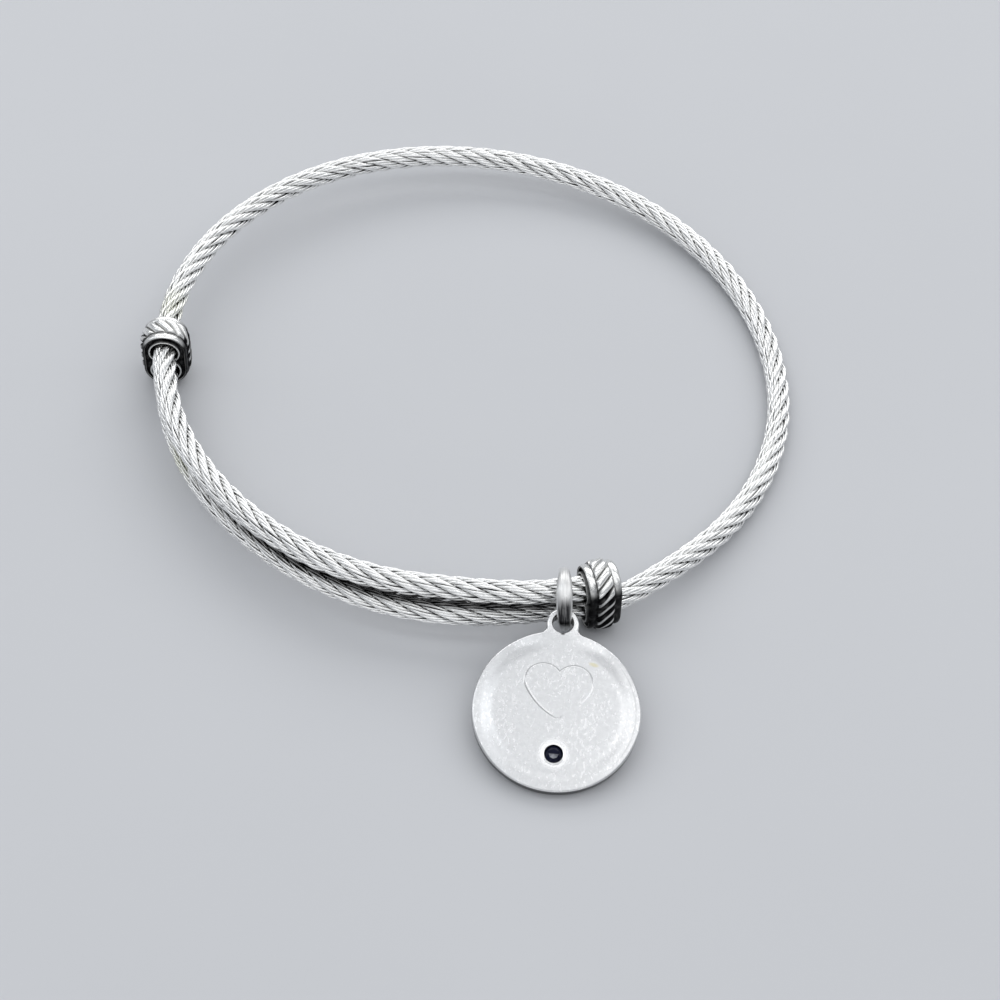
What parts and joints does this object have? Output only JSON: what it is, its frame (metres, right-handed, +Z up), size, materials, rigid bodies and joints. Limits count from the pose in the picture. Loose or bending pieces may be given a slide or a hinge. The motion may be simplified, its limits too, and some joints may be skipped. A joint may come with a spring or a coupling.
{
  "type": "charm bangle",
  "caption": "Adjustable twisted-wire bangle whose overlapping ends slide through oblong beads, with a round heart-engraved charm on a jump ring.",
  "frame": {"origin": "middle of the wrist opening, on the surface that the bangle lies on", "axes": "+Z up through the wrist opening, -Y towards the doubled front with the charm, +X to the right seen from the front"},
  "size_m": [0.0669, 0.0822, 0.0078],
  "materials": {
    "cable": "bright drawn wire with dark grooves",
    "beads": "oxidised silver, black in the recesses and bright on the crowns",
    "jump_ring": "brushed along its length",
    "charm": "satin silver, scuffed",
    "stone": "dark, cut in facets"
  },
  "bodies": {
    "root": {"cable": "cable", "left_slider_bead": "beads", "right_slider_bead": "beads", "jump_ring": "jump_ring", "charm_disc": "charm", "charm_stone": "stone"}
  },
  "joints": []
}
